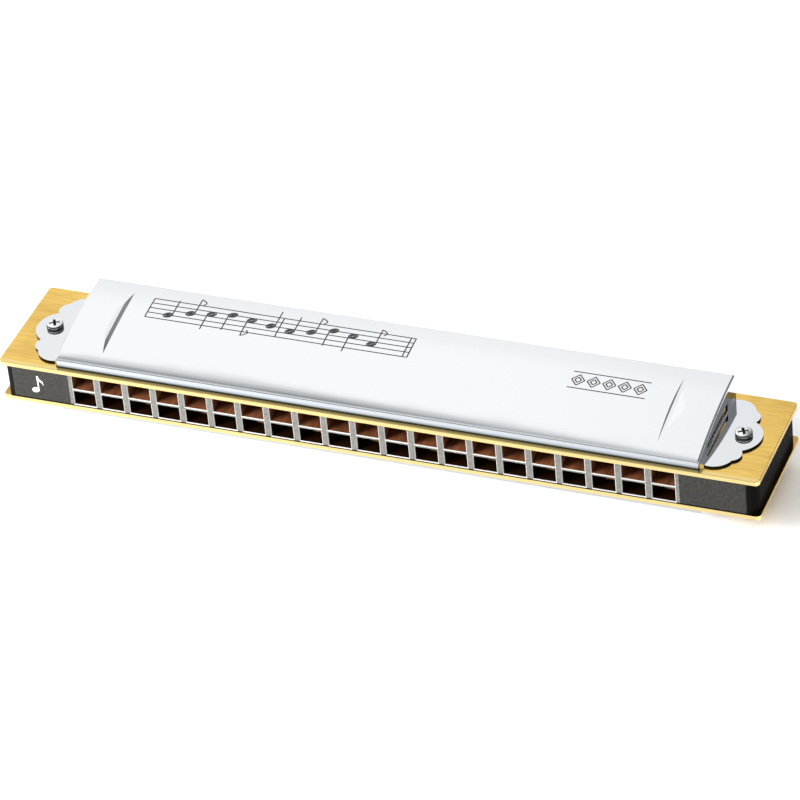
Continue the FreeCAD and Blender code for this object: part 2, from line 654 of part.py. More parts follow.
def cover(side):
    """The stamped cover: lip, arched top, end walls, ears, hem, vents and creases."""
    body = doc.addObject("PartDesign::Body", f"cover_{side}")
    outer = pad(body, "outer", cover_profile(body, "outer_section", "0"), COVER_LENGTH)
    doc.recompute()
    roll = body.newObject("PartDesign::Fillet", "roll")
    roll.Base = (outer, edges_near(outer.Shape, y=value(f"{COVER_FRONT} + Sizes.lip_lean"), above=0.1))
    roll.setExpression("Radius", "Sizes.cover_roll")
    doc.recompute()
    end_roll = body.newObject("PartDesign::Fillet", "end_roll")
    end_roll.Base = (roll, end_edges(roll.Shape))
    end_roll.setExpression("Radius", "Sizes.cover_end_roll")
    doc.recompute()
    inner = pocket(body, "inner", cover_profile(body, "inner_section", "Sizes.sheet_thick"),
                   f"{COVER_LENGTH} - 2 * Sizes.sheet_thick", midplane=True)
    doc.recompute()
    check_cut(end_roll, inner, "inner")

    hem_outline = new_sketch(body, "hem_outline", "YZ_Plane")
    hem_top = "(Sizes.cover_height - Sizes.sheet_thick)"
    rectangle(hem_outline, f"{COVER_BACK} - Sizes.hem_width", COVER_BACK,
              f"{hem_top} - Sizes.hem_thick", f"{hem_top} + Sizes.sheet_thick / 4")
    hem = pad(body, "hem", hem_outline, f"{COVER_LENGTH} - Sizes.sheet_thick")
    body.Tip = hem
    doc.recompute()

    ear = pad(body, "ear", ear_outline(body), "Sizes.sheet_thick", midplane=False)
    ears = mirrored(body, "ears", [ear])
    doc.recompute()
    bend = body.newObject("PartDesign::Fillet", "bend")
    bend.Base = (ears, bend_edges(ears.Shape))
    bend.setExpression("Radius", "Sizes.ear_bend")
    doc.recompute()
    vent = pocket(body, "vent", vent_outline(body), "2 * Sizes.sheet_thick", midplane=True)
    hole_outline = new_sketch(body, "screw_hole", "XY_Plane", "Sizes.sheet_thick")
    circle = hole_outline.addGeometry(Part.Circle(Vector(value(SCREW_X), 0, 0), Vector(0, 0, 1),
                                                  value("Sizes.screw_radius")))
    pin(hole_outline, circle, 3, SCREW_X, "0")
    number = hole_outline.addConstraint(Sketcher.Constraint("Radius", circle, value("Sizes.screw_radius")))
    hole_outline.setExpression(f"Constraints[{number}]", "Sizes.screw_radius")
    hole = pocket(body, "hole", hole_outline, "2 * Sizes.sheet_thick")
    crease = crease_groove(body)
    doc.recompute()
    check_cut(hole, crease, "crease")
    cuts = mirrored(body, "cuts", [vent, hole, crease])
    doc.recompute()
    check_cut(crease, cuts, "cuts")
    if side == "upper":
        place(body, z=f"{MIDDLE_Z} + {PLATE_OUTER}")
    else:
        body.Placement.Rotation = FreeCAD.Rotation(Vector(0, 1, 0), 180)
        place(body, z="Sizes.cover_height")
    keep(body, f"cover_{side}")


def mirrored(body, name, features):
    """Repeat features on the other end of the cover."""
    feature = body.newObject("PartDesign::Mirrored", name)
    feature.Originals = features
    feature.MirrorPlane = (origin_part(body, "YZ_Plane"), [""])
    body.Tip = feature
    return feature


def edges_near(shape, y, above):
    """Names of the edges along X that lie at y and above a level."""
    names = []
    for number, edge in enumerate(shape.Edges, start=1):
        size = edge.BoundBox
        if size.YLength < 1e-6 and size.ZLength < 1e-6 and abs(size.YMin - y) < 1e-6 and size.ZMin > above:
            names.append(f"Edge{number}")
    return names


def end_edges(shape):
    """Names of the curved and upright edges around the two ends, without those at the back and foot."""
    names = []
    back = value(COVER_BACK)
    for number, edge in enumerate(shape.Edges, start=1):
        size = edge.BoundBox
        if size.XLength < 1e-6 and size.ZMax > 1e-3 and size.YMin < back - 1e-3:
            names.append(f"Edge{number}")
    return names


def bend_edges(shape):
    """Names of the inside edges where the ears leave the end walls."""
    names = []
    end = value(f"{COVER_LENGTH} / 2")
    level = value("Sizes.sheet_thick")
    for number, edge in enumerate(shape.Edges, start=1):
        size = edge.BoundBox
        if size.XLength < 1e-6 and size.ZLength < 1e-6 and abs(abs(size.XMin) - end) < 1e-6:
            if abs(size.ZMin - level) < 1e-6:
                names.append(f"Edge{number}")
    return names


def check_model():
    """Refuse a failed object and an empty or invalid sub-part."""
    for thing in doc.Objects:
        if "Invalid" in thing.State or "Error" in thing.State:
            raise ValueError(f"{thing.Label}: {thing.State}")
    for piece in pieces:
        if piece.Shape.isNull() or not piece.Shape.isValid():
            raise ValueError(f"{piece.Label} is not a valid shape")


def write_pieces():
    """Write one STEP file for each sub-part."""
    os.makedirs("parts", exist_ok=True)
    for piece in pieces:
        piece.Shape.exportStep(f"parts/{piece.Label}.step")
        size = piece.Shape.BoundBox
        print(piece.Label, len(piece.Shape.Solids), "solids", round(piece.Shape.Volume, 1), "mm3",
              [round(number, 2) for number in (size.XMin, size.YMin, size.ZMin,
                                               size.XMax, size.YMax, size.ZMax)])


def main():
    """Build the harmonica and write its sub-parts."""
    fill_sheet()
    comb()
    for side in ("upper", "lower"):
        reed_plate(side)
        reed_pads(side)
        rivets(side)
        plate_nails(side)
        cover_screws(side)
        cover(side)
        for index in columns():
            reed(side, index)
    doc.recompute()
    check_model()
    write_pieces()


main()
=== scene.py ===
"""Looks of a tremolo harmonica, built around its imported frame.

The covers, plates, comb, reeds and nails keep their own solids and get their finishes here. The screws
are turned in full detail, the upper cover gets an engraved staff of notes and a row of lozenges, and
the comb gets a small printed note.
"""

import math

import bmesh
import bpy
from mathutils import Matrix, Vector


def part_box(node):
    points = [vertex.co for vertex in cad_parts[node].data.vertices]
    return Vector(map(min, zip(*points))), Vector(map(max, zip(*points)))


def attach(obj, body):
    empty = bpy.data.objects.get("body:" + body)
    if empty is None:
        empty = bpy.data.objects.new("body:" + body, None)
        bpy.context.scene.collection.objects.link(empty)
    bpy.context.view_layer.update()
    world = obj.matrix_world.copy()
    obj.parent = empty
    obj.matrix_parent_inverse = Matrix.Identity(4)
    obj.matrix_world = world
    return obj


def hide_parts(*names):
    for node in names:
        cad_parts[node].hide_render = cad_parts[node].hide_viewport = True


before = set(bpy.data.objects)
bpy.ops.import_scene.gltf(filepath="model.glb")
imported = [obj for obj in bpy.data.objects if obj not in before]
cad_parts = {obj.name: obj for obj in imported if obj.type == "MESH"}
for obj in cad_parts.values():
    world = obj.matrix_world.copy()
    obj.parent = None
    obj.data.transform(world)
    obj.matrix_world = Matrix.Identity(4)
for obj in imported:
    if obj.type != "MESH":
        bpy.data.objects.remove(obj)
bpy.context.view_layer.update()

bl_info = {
    "name": "Tremolo Harmonica",
    "version": (1, 0, 0),
    "blender": (4, 5, 0),
    "location": "View3D > Sidebar > Harmonica",
    "description": "Finishes a two-row tremolo harmonica and sets up its studio",
    "category": "Add Mesh",
}

BODY = "harmonica"
MM = 0.001
PLATE_LOW, PLATE_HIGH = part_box("reed_plate_upper")
COMB_LOW, COMB_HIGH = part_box("comb")
COVER_LOW, COVER_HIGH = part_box("cover_upper")
REED_NODES = sorted(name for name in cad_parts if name.startswith(("reed_upper_", "reed_lower_")))
MIDDLE_Z = (COMB_LOW.z + COMB_HIGH.z) / 2
SHEET = 0.5 * MM
COVER_END = 72.0 * MM
ARCH_RADIUS = 79.6 * MM


# ---------------------------------------------------------------- settings


class HarmonicaFinish(bpy.types.PropertyGroup):
    """Colours and surface of each material."""

    chrome: bpy.props.FloatVectorProperty(
        name="Chrome", description="Colour of the plated covers", subtype="COLOR",
        size=3, default=(0.87, 0.885, 0.9), min=0.0, max=1.0)
    chrome_roughness: bpy.props.FloatProperty(
        name="Chrome roughness", description="Softness of the reflections in the covers",
        subtype="FACTOR", default=0.045, min=0.0, max=1.0)
    brass: bpy.props.FloatVectorProperty(
        name="Brass", description="Colour of the reed plates", subtype="COLOR",
        size=3, default=(1.0, 0.67, 0.17), min=0.0, max=1.0)
    brass_dark: bpy.props.FloatVectorProperty(
        name="Darker brass", description="Colour of the rolling streaks in the plates", subtype="COLOR",
        size=3, default=(0.68, 0.4, 0.1), min=0.0, max=1.0)
    bronze: bpy.props.FloatVectorProperty(
        name="Reed bronze", description="Colour of the reeds", subtype="COLOR",
        size=3, default=(0.78, 0.5, 0.24), min=0.0, max=1.0)
    lacquer: bpy.props.FloatVectorProperty(
        name="Lacquer", description="Colour of the comb's lacquered outside", subtype="COLOR",
        size=3, default=(0.044, 0.043, 0.04), min=0.0, max=1.0)
    wood: bpy.props.FloatVectorProperty(
        name="Wood", description="Colour of the bare wood in the chambers", subtype="COLOR",
        size=3, default=(0.17, 0.06, 0.025), min=0.0, max=1.0)
    # The mouth rim colour is a painted highlight on the bevels around the holes.
    rim: bpy.props.FloatVectorProperty(
        name="Mouth rim", description="Colour of the polished bevels around the mouth holes",
        subtype="COLOR", size=3, default=(0.46, 0.46, 0.44), min=0.0, max=1.0)
    marking: bpy.props.FloatVectorProperty(
        name="Marking", description="Colour of the printed note on the comb", subtype="COLOR",
        size=3, default=(0.9, 0.9, 0.88), min=0.0, max=1.0)
    engraving: bpy.props.FloatVectorProperty(
        name="Engraving", description="Colour in the engraved lines", subtype="COLOR",
        size=3, default=(0.025, 0.025, 0.028), min=0.0, max=1.0)


class HarmonicaEngraving(bpy.types.PropertyGroup):
    """Sizes of the engraved ornaments."""

    line_width: bpy.props.FloatProperty(
        name="Line width", description="Width of an engraved line", unit="LENGTH",
        default=0.3 * MM, min=0.05 * MM, max=1.0 * MM)
    line_rise: bpy.props.FloatProperty(
        name="Line rise", description="How far an engraved line's fill stands above the metal",
        unit="LENGTH", default=0.025 * MM, min=0.0, max=0.2 * MM)
    staff_left: bpy.props.FloatProperty(
        name="Staff left", description="X of the staff's left end", unit="LENGTH", default=-57.0 * MM)
    staff_right: bpy.props.FloatProperty(
        name="Staff right", description="X of the staff's right end", unit="LENGTH", default=3.0 * MM)
    staff_y: bpy.props.FloatProperty(
        name="Staff middle", description="Y of the staff's middle line", unit="LENGTH", default=5.4 * MM)
    staff_space: bpy.props.FloatProperty(
        name="Staff space", description="From one line of the staff to the next", unit="LENGTH",
        default=1.5 * MM)


class HarmonicaScrew(bpy.types.PropertyGroup):
    """Sizes of the cover screws that the frame doesn't give."""

    dome: bpy.props.FloatProperty(
        name="Dome", description="Height of the head's domed top", unit="LENGTH", default=0.18 * MM)
    recess_span: bpy.props.FloatProperty(
        name="Recess span", description="Cross recess, tip to tip", unit="LENGTH", default=2.6 * MM)
    recess_width: bpy.props.FloatProperty(
        name="Recess width", description="Arm of the cross recess", unit="LENGTH", default=0.62 * MM)


class HarmonicaStage(bpy.types.PropertyGroup):
    """Camera and lights."""

    azimuth: bpy.props.FloatProperty(
        name="Azimuth", description="Turn of the camera round the harmonica", subtype="ANGLE",
        default=math.radians(23.93))
    elevation: bpy.props.FloatProperty(
        name="Elevation", description="Height of the camera above the horizon", subtype="ANGLE",
        default=math.radians(36.64))
    roll: bpy.props.FloatProperty(
        name="Roll", description="Turn of the camera about its own axis", subtype="ANGLE",
        default=math.radians(-5.795))
    distance: bpy.props.FloatProperty(
        name="Distance", description="From the harmonica's middle to the camera", unit="LENGTH",
        default=1.03774)
    aside: bpy.props.FloatProperty(
        name="Aside", description="How far the camera stands to the right of the middle",
        unit="LENGTH", default=1.415 * MM)
    lens: bpy.props.FloatProperty(
        name="Lens", description="Focal length in millimetres on a 36 mm sensor", default=221.2)
    floor_size: bpy.props.FloatProperty(
        name="Floor", description="Side of the pale floor", unit="LENGTH", default=6.0)


GROUPS = (
    ("harmonica_finish", HarmonicaFinish),
    ("harmonica_engraving", HarmonicaEngraving),
    ("harmonica_screw", HarmonicaScrew),
    ("harmonica_stage", HarmonicaStage),
)


# ---------------------------------------------------------------- helpers


def opaque(colour):
    """A colour with full alpha."""
    return (*colour, 1.0)


def new_material(name):
    """A material with an empty principled shader: (material, tree, shader)."""
    material = bpy.data.materials.new(name)
    material.use_nodes = True
    tree = material.node_tree
    tree.nodes.clear()
    output = tree.nodes.new("ShaderNodeOutputMaterial")
    shader = tree.nodes.new("ShaderNodeBsdfPrincipled")
    tree.links.new(shader.outputs["BSDF"], output.inputs["Surface"])
    return material, tree, shader


def add_node(tree, kind, links=None, **settings):
    """A node with its settings, and its named inputs linked or set."""
    node = tree.nodes.new(kind)
    for name, setting in settings.items():
        setattr(node, name, setting)
    for name, source in (links or {}).items():
        if isinstance(source, bpy.types.NodeSocket):
            tree.links.new(source, node.inputs[name])
        else:
            node.inputs[name].default_value = source
    return node


def object_coordinates(tree, scale=(1.0, 1.0, 1.0)):
    """Object coordinates in metres, stretched by a scale."""
    place = add_node(tree, "ShaderNodeTexCoord")
    mapping = add_node(tree, "ShaderNodeMapping", {"Vector": place.outputs["Object"], "Scale": scale})
    return mapping.outputs["Vector"]


def noise(tree, scale, detail=3.0, stretch=(1.0, 1.0, 1.0), roughness=0.5):
    """Noise on Object coordinates: its factor socket."""
    node = add_node(tree, "ShaderNodeTexNoise", {
        "Vector": object_coordinates(tree, stretch), "Scale": scale, "Detail": detail,
        "Roughness": roughness})
    return node.outputs["Fac"]


def remap(tree, socket, low, high, to_low, to_high):
    """A socket's range turned to another, held within it."""
    node = add_node(tree, "ShaderNodeMapRange", {
        "Value": socket, "From Min": low, "From Max": high, "To Min": to_low, "To Max": to_high})
    return node.outputs["Result"]


def smooth_step(tree, socket, low, high):
    """0 below a range, 1 above it, and a soft rise between."""
    node = add_node(tree, "ShaderNodeMapRange", {"Value": socket, "From Min": low, "From Max": high},
                    interpolation_type="SMOOTHSTEP")
    return node.outputs["Result"]


def calculate(tree, operation, first, second=0.0, clamp=False):
    """One sum on two sockets or numbers."""
    node = add_node(tree, "ShaderNodeMath", {0: first, 1: second}, operation=operation, use_clamp=clamp)
    return node.outputs["Value"]


def mix_colour(tree, factor, first, second):
    """A colour between two, by a factor."""
    node = add_node(tree, "ShaderNodeMix", {0: factor, 6: first, 7: second}, data_type="RGBA")
    return node.outputs[2]


def bump(tree, shader, height, strength, distance, normal=None):
    """Bump from a height socket, on top of an earlier bump if one is given."""
    links = {"Height": height, "Strength": strength, "Distance": distance}
    if normal is not None:
        links["Normal"] = normal
    node = add_node(tree, "ShaderNodeBump", links)
    tree.links.new(node.outputs["Normal"], shader.inputs["Normal"])
    return node.outputs["Normal"]


def finish_nodes(names, material):
    """Give CAD nodes a material."""
    for name in names:
        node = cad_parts[name]
        node.data.materials.clear()
        node.data.materials.append(material)


def mesh_object(name, mesh):
    """A mesh as an object of the scene."""
    thing = bpy.data.objects.new(name, mesh)
    bpy.context.scene.collection.objects.link(thing)
    return thing


def from_bmesh(name, shape):
    """A bmesh as an object of the scene."""
    mesh = bpy.data.meshes.new(name)
    shape.to_mesh(mesh)
    shape.free()
    return mesh_object(name, mesh)


def node_tree(name, inputs):
    """A geometry tree with named inputs besides its geometry: (tree, input node, output node)."""
    tree = bpy.data.node_groups.new(name, "GeometryNodeTree")
    tree.interface.new_socket("Geometry", in_out="INPUT", socket_type="NodeSocketGeometry")
    for label, kind in inputs:
        tree.interface.new_socket(label, in_out="INPUT", socket_type=kind)
    tree.interface.new_socket("Geometry", in_out="OUTPUT", socket_type="NodeSocketGeometry")
    return tree, tree.nodes.new("NodeGroupInput"), tree.nodes.new("NodeGroupOutput")


def grow(base, tree, values):
    """The plain mesh that a tree makes from a base object and its named inputs."""
    modifier = base.modifiers.new("grow", "NODES")
    modifier.node_group = tree
    sockets = {item.name: item.identifier for item in tree.interface.items_tree if item.in_out == "INPUT"}
    for name, setting in values.items():
        modifier[sockets[name]] = setting
    bpy.context.view_layer.update()
    seen = base.evaluated_get(bpy.context.evaluated_depsgraph_get())
    mesh = bpy.data.meshes.new_from_object(seen)
    base.modifiers.remove(modifier)
    old = base.data
    base.data = mesh
    bpy.data.meshes.remove(old)
    return base


# ---------------------------------------------------------------- materials


def position_parts(tree):
    """The X, Y and Z sockets of Object coordinates."""
    place = add_node(tree, "ShaderNodeTexCoord")
    parts = add_node(tree, "ShaderNodeSeparateXYZ", {"Vector": place.outputs["Object"]})
    return tuple(parts.outputs[axis] for axis in "XYZ")


def chrome_material(finish):
    """Polished chrome outside; rougher metal inside the cover with painted shade, painted shade down the lip,
    and painted shadow lines along the lip's foot and on the ears' cut edges.
    """
    material, tree, shader = new_material("satin_chrome")
    shader.inputs["Metallic"].default_value = 1.0
    x, y, z = position_parts(tree)
    aside = calculate(tree, "ABSOLUTE", x)
    rise = calculate(tree, "ABSOLUTE", calculate(tree, "SUBTRACT", z, MIDDLE_Z))
    foot = COVER_LOW.z - MIDDLE_Z

    # Painted shadow: the ears' cut edges and a thin line along the lip's foot are painted nearly black.
    past_wall = calculate(tree, "GREATER_THAN", aside, COVER_END + 0.6 * MM)
    cut = calculate(tree, "MULTIPLY", past_wall, calculate(tree, "LESS_THAN", rise, foot + SHEET - 0.03 * MM))
    lip_foot_shadow = calculate(tree, "MULTIPLY", calculate(tree, "LESS_THAN", rise, foot + 0.16 * MM),
                          calculate(tree, "LESS_THAN", y, COVER_LOW.y + SHEET))
    cut = calculate(tree, "MAXIMUM", cut, lip_foot_shadow)
    from_back = calculate(tree, "SUBTRACT", COVER_HIGH.y, y)
    sag = calculate(tree, "DIVIDE", calculate(tree, "MULTIPLY", from_back, from_back), 2 * ARCH_RADIUS)
    skin = calculate(tree, "SUBTRACT", COVER_HIGH.z - MIDDLE_Z - 0.8 * SHEET, sag)
    under = calculate(tree, "LESS_THAN", rise, skin)
    between = calculate(tree, "LESS_THAN", aside, COVER_END - 0.6 * SHEET)
    behind_lip = calculate(tree, "GREATER_THAN", y, COVER_LOW.y + 1.7 * SHEET)
    inside = calculate(tree, "MULTIPLY", calculate(tree, "MULTIPLY", under, between), behind_lip)

    # Painted shade: inside the cover the metal is painted dark grey, standing in for the shade there; the
    # noise varies it at random.
    cloud = noise(tree, 60.0, 2.0)
    pale_inside = (0.2, 0.2, 0.2, 1.0)
    deep_inside = (0.12, 0.12, 0.12, 1.0)
    inside_painted_shade = mix_colour(tree, remap(tree, cloud, 0.35, 0.65, 0.0, 1.0), pale_inside, deep_inside)
    # Painted shade: the lip is darkened towards its foot, standing in for a dimmer reflection there.
    on_lip = calculate(tree, "LESS_THAN", y, COVER_LOW.y + 0.45 * MM)
    low_lip = calculate(tree, "SUBTRACT", 1.0, smooth_step(tree, rise, foot + 0.2 * MM, foot + 1.9 * MM))
    shaded = tuple(share * part for share, part in zip((0.2, 0.225, 0.25), finish.chrome))
    least_shade = 0.68
    lip_shade = calculate(tree, "MULTIPLY", on_lip, calculate(tree, "MAXIMUM", low_lip, least_shade))
    outside = mix_colour(tree, lip_shade, opaque(finish.chrome), opaque(shaded))
    colour = mix_colour(tree, inside, outside, inside_painted_shade)
    edge_shadow_colour = (0.02, 0.02, 0.022, 1.0)
    colour = mix_colour(tree, cut, colour, edge_shadow_colour)
    tree.links.new(colour, shader.inputs["Base Color"])
    rough = finish.chrome_roughness
    rough_inside = calculate(tree, "MULTIPLY", calculate(tree, "MAXIMUM", inside, cut), 0.35)
    polished_and_painted_light = remap(tree, cloud, 0.3, 0.7, rough - 0.02, rough + 0.03)
    tree.links.new(calculate(tree, "ADD", polished_and_painted_light, rough_inside), shader.inputs["Roughness"])
    lines = noise(tree, 900.0, 2.0, stretch=(0.03, 1.0, 1.0))
    fine = bump(tree, shader, lines, 0.05, 0.00002)
    wave = noise(tree, 45.0, 1.0, stretch=(0.4, 1.0, 1.0))
    bump(tree, shader, wave, 0.06, 0.0002, fine)
    return material


def brass_material(finish):
    """Rolled brass: darker streaks along the plate, fine brushing and a few soft stains, with painted shade
    under the covers and on the plates' inner faces, a painted highlight on the strip in front of the cover,
    and painted shade on the front edge and in a line along its top.
    """
    material, tree, shader = new_material("rolled_brass")
    shader.inputs["Metallic"].default_value = 1.0
    streaks = noise(tree, 260.0, 4.0, stretch=(0.05, 1.0, 1.0), roughness=0.6)
    stains = noise(tree, 90.0, 3.0)
    grain = noise(tree, 1800.0, 3.0, stretch=(0.1, 1.0, 1.0))
    amount = calculate(tree, "ADD", remap(tree, streaks, 0.45, 0.75, 0.0, 0.4),
                       remap(tree, stains, 0.5, 0.8, 0.0, 0.35), clamp=True)
    amount = calculate(tree, "ADD", amount, remap(tree, grain, 0.45, 0.7, 0.0, 0.45), clamp=True)
    colour = mix_colour(tree, amount, opaque(finish.brass), opaque(finish.brass_dark))
    x, y, z = position_parts(tree)
    # Painted shade: under the covers and on the plates' inner faces the brass is darkened, standing in for
    # the shade there.
    under = calculate(tree, "LESS_THAN", calculate(tree, "ABSOLUTE", x), COVER_END - SHEET)
    under = calculate(tree, "MULTIPLY", under, calculate(tree, "GREATER_THAN", y, COVER_LOW.y + 0.7 * SHEET))
    under = calculate(tree, "MULTIPLY", under, calculate(tree, "LESS_THAN", y, COVER_HIGH.y - SHEET))
    rise = calculate(tree, "ABSOLUTE", calculate(tree, "SUBTRACT", z, MIDDLE_Z))
    inner = calculate(tree, "LESS_THAN", rise, PLATE_LOW.z - MIDDLE_Z + 0.03 * MM)
    inner = calculate(tree, "MULTIPLY", inner, calculate(tree, "GREATER_THAN", y, COMB_LOW.y + 0.1 * MM))
    under = calculate(tree, "MAXIMUM", under, inner)
    painted_shade_brass = tuple(0.3 * part for part in finish.brass_dark)
    face = calculate(tree, "LESS_THAN", y, PLATE_LOW.y + 0.04 * MM)
    strip = calculate(tree, "LESS_THAN", y, COVER_LOW.y)
    # Painted highlight: the strip in front of the cover's lip is lightened.
    strip_highlight = (1.0, 0.82, 0.36, 1.0)
    # Painted shade: the plate's front edge is darkened.
    face_shade = (0.54, 0.42, 0.2, 1.0)
    colour = mix_colour(tree, calculate(tree, "MULTIPLY", strip, 0.6), colour, strip_highlight)
    colour = mix_colour(tree, calculate(tree, "MULTIPLY", face, 0.8), colour, face_shade)
    # Painted shadow: a thin dark line along the top of the plate's front edge.
    edge_shadow_line = calculate(tree, "MULTIPLY", calculate(tree, "LESS_THAN", y, PLATE_LOW.y + 0.2 * MM),
                     calculate(tree, "GREATER_THAN", rise, PLATE_HIGH.z - MIDDLE_Z - 0.13 * MM))
    shade = calculate(tree, "MAXIMUM", calculate(tree, "MULTIPLY", under, 0.5),
                      calculate(tree, "MULTIPLY", edge_shadow_line, 0.15))
    colour = mix_colour(tree, shade, colour, opaque(painted_shade_brass))
    tree.links.new(colour, shader.inputs["Base Color"])
    tree.links.new(remap(tree, stains, 0.3, 0.7, 0.15, 0.26), shader.inputs["Roughness"])
    brushing = noise(tree, 2200.0, 2.0, stretch=(0.03, 1.0, 1.0))
    bump(tree, shader, brushing, 0.12, 0.00003)
    return material


def comb_material(finish):
    """Black lacquer outside with a painted sheen on the front along the holes, painted highlights on the rims
    round the mouth holes, painted shade on the ends and a painted shadow band along the top and bottom edges;
    bare wood in the chambers, with painted shade in the lower row.
    """
    material, tree, shader = new_material("lacquered_comb")
    x, y, z = position_parts(tree)
    reeds = [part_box(name) for name in REED_NODES]
    row_left = min(low.x for low, high in reeds) - 2.2 * MM
    row_right = max(high.x for low, high in reeds) + 2.2 * MM
    depth = calculate(tree, "SUBTRACT", y, COMB_LOW.y)
    behind_face = calculate(tree, "GREATER_THAN", depth, 0.004 * MM)
    behind_rim = calculate(tree, "GREATER_THAN", depth, 0.185 * MM)
    before_back = calculate(tree, "LESS_THAN", y, COMB_HIGH.y - 0.5 * MM)
    from_left = calculate(tree, "GREATER_THAN", x, row_left)
    from_right = calculate(tree, "LESS_THAN", x, row_right)
    within = calculate(tree, "MULTIPLY", calculate(tree, "MULTIPLY", from_left, from_right), before_back)
    rim = calculate(tree, "MULTIPLY", within, behind_face)
    inside = calculate(tree, "MULTIPLY", within, behind_rim)

    grain = noise(tree, 700.0, 4.0, stretch=(1.0, 0.12, 1.0), roughness=0.6)
    dark_wood = tuple(0.35 * part for part in finish.wood)
    wood = mix_colour(tree, remap(tree, grain, 0.35, 0.7, 0.0, 1.0), opaque(finish.wood), opaque(dark_wood))
    # Painted shade: the wood of the lower chambers is darkened, standing in for the shade there.
    lower_row_shade = tuple(0.06 * part for part in finish.wood)
    below = calculate(tree, "LESS_THAN", z, MIDDLE_Z)
    wood = mix_colour(tree, below, wood, opaque(lower_row_shade))
    # Painted shadow: a dark band along the comb's top and bottom edges, under the plates.
    from_middle = calculate(tree, "ABSOLUTE", calculate(tree, "SUBTRACT", z, MIDDLE_Z))
    plate_shadow_band = calculate(tree, "GREATER_THAN", from_middle, COMB_HIGH.z - MIDDLE_Z - 0.22 * MM)
    mottle = noise(tree, 1600.0, 3.0)
    black = tuple(0.16 * part for part in finish.lacquer)
    # Painted sheen: along the holes the lacquer is lightened, standing in for its reflection; the mottle
    # darkens it at random.
    painted_sheen = tuple(4.2 * part for part in finish.lacquer)
    wear_and_sheen = mix_colour(tree, within, opaque(finish.lacquer), opaque(painted_sheen))
    lacquer = mix_colour(tree, remap(tree, mottle, 0.35, 0.7, 0.0, 0.4), wear_and_sheen, opaque(black))
    # Painted shade: the ends and the faces under the plates are darkened to black, together with the painted
    # shadow band.
    around = calculate(tree, "MULTIPLY", calculate(tree, "GREATER_THAN", depth, 0.06 * MM),
                       calculate(tree, "LESS_THAN", y, COMB_HIGH.y - 0.06 * MM))
    polished_and_painted_light = calculate(tree, "MAXIMUM", plate_shadow_band, around)
    # Painted highlight: the bevels around the mouth holes get the light rim colour.
    outside = mix_colour(tree, rim, mix_colour(tree, polished_and_painted_light, lacquer, opaque(black)), opaque(finish.rim))
    tree.links.new(mix_colour(tree, inside, outside, wood), shader.inputs["Base Color"])

    shader.inputs["Specular IOR Level"].default_value = 0.004
    orange_peel = noise(tree, 500.0, 2.0)
    gloss = remap(tree, orange_peel, 0.3, 0.7, 0.2, 0.3)
    rough_wood = remap(tree, grain, 0.3, 0.7, 0.55, 0.75)
    roughness = add_node(tree, "ShaderNodeMix", {0: inside, 2: gloss, 3: rough_wood}, data_type="FLOAT")
    tree.links.new(roughness.outputs[0], shader.inputs["Roughness"])
    bump(tree, shader, calculate(tree, "ADD", orange_peel, mottle), 0.08, 0.00003)
    return material


def bronze_material(finish):
    """Filed bronze of the reeds: scratches along each reed."""
    material, tree, shader = new_material("filed_bronze")
    shader.inputs["Metallic"].default_value = 1.0
    scratches = noise(tree, 3000.0, 3.0, stretch=(1.0, 0.04, 1.0))
    dark = tuple(0.7 * part for part in finish.bronze)
    scratched = remap(tree, scratches, 0.4, 0.65, 0.0, 1.0)
    colour = mix_colour(tree, scratched, opaque(finish.bronze), opaque(dark))
    tree.links.new(colour, shader.inputs["Base Color"])
    tree.links.new(remap(tree, scratches, 0.3, 0.7, 0.25, 0.42), shader.inputs["Roughness"])
    bump(tree, shader, scratches, 0.3, 0.00003)
    return material


def turned_metal(name, colour, roughness):
    """Plated steel with fine turning marks."""
    material, tree, shader = new_material(name)
    shader.inputs["Metallic"].default_value = 1.0
    shader.inputs["Base Color"].default_value = opaque(colour)
    specks = noise(tree, 1500.0, 2.0)
    tree.links.new(remap(tree, specks, 0.3, 0.7, roughness - 0.04, roughness + 0.06),
                   shader.inputs["Roughness"])
    bump(tree, shader, specks, 0.08, 0.00002)
    return material


def painted(name, colour, roughness):
    """A thin printed or filled line, with a slightly uneven coat."""
    material, tree, shader = new_material(name)
    coat = noise(tree, 1200.0, 2.0)
    wear_and_sheen = tuple(0.82 * part for part in colour)
    tree.links.new(mix_colour(tree, remap(tree, coat, 0.4, 0.7, 0.0, 1.0), opaque(colour), opaque(wear_and_sheen)),
                   shader.inputs["Base Color"])
    tree.links.new(remap(tree, coat, 0.3, 0.7, roughness - 0.05, roughness + 0.1),
                   shader.inputs["Roughness"])
    return material


# ---------------------------------------------------------------- finishes of the CAD nodes


class HARMONICA_OT_covers(bpy.types.Operator):
    """Give both covers their satin chrome."""

    bl_idname = "harmonica.covers"
    bl_label = "Finish covers"

    def execute(self, context):
        finish_nodes(("cover_upper", "cover_lower"), chrome_material(context.scene.harmonica_finish))
        return {"FINISHED"}


class HARMONICA_OT_plates(bpy.types.Operator):
    """Give the reed plates their brass, and the nails their steel."""

    bl_idname = "harmonica.plates"
    bl_label = "Finish plates"

    def execute(self, context):
        finish = context.scene.harmonica_finish
        finish_nodes(("reed_plate_upper", "reed_plate_lower"), brass_material(finish))
        finish_nodes(("plate_nails_upper", "plate_nails_lower"),
                     turned_metal("nail_steel", (0.62, 0.6, 0.56), 0.34))
        return {"FINISHED"}


class HARMONICA_OT_comb(bpy.types.Operator):
    """Lacquer the comb with painted sheen and shade, paint highlights on its mouth rims and leave its
    chambers bare.
    """

    bl_idname = "harmonica.comb"
    bl_label = "Finish comb"

    def execute(self, context):
        finish_nodes(("comb",), comb_material(context.scene.harmonica_finish))
        return {"FINISHED"}


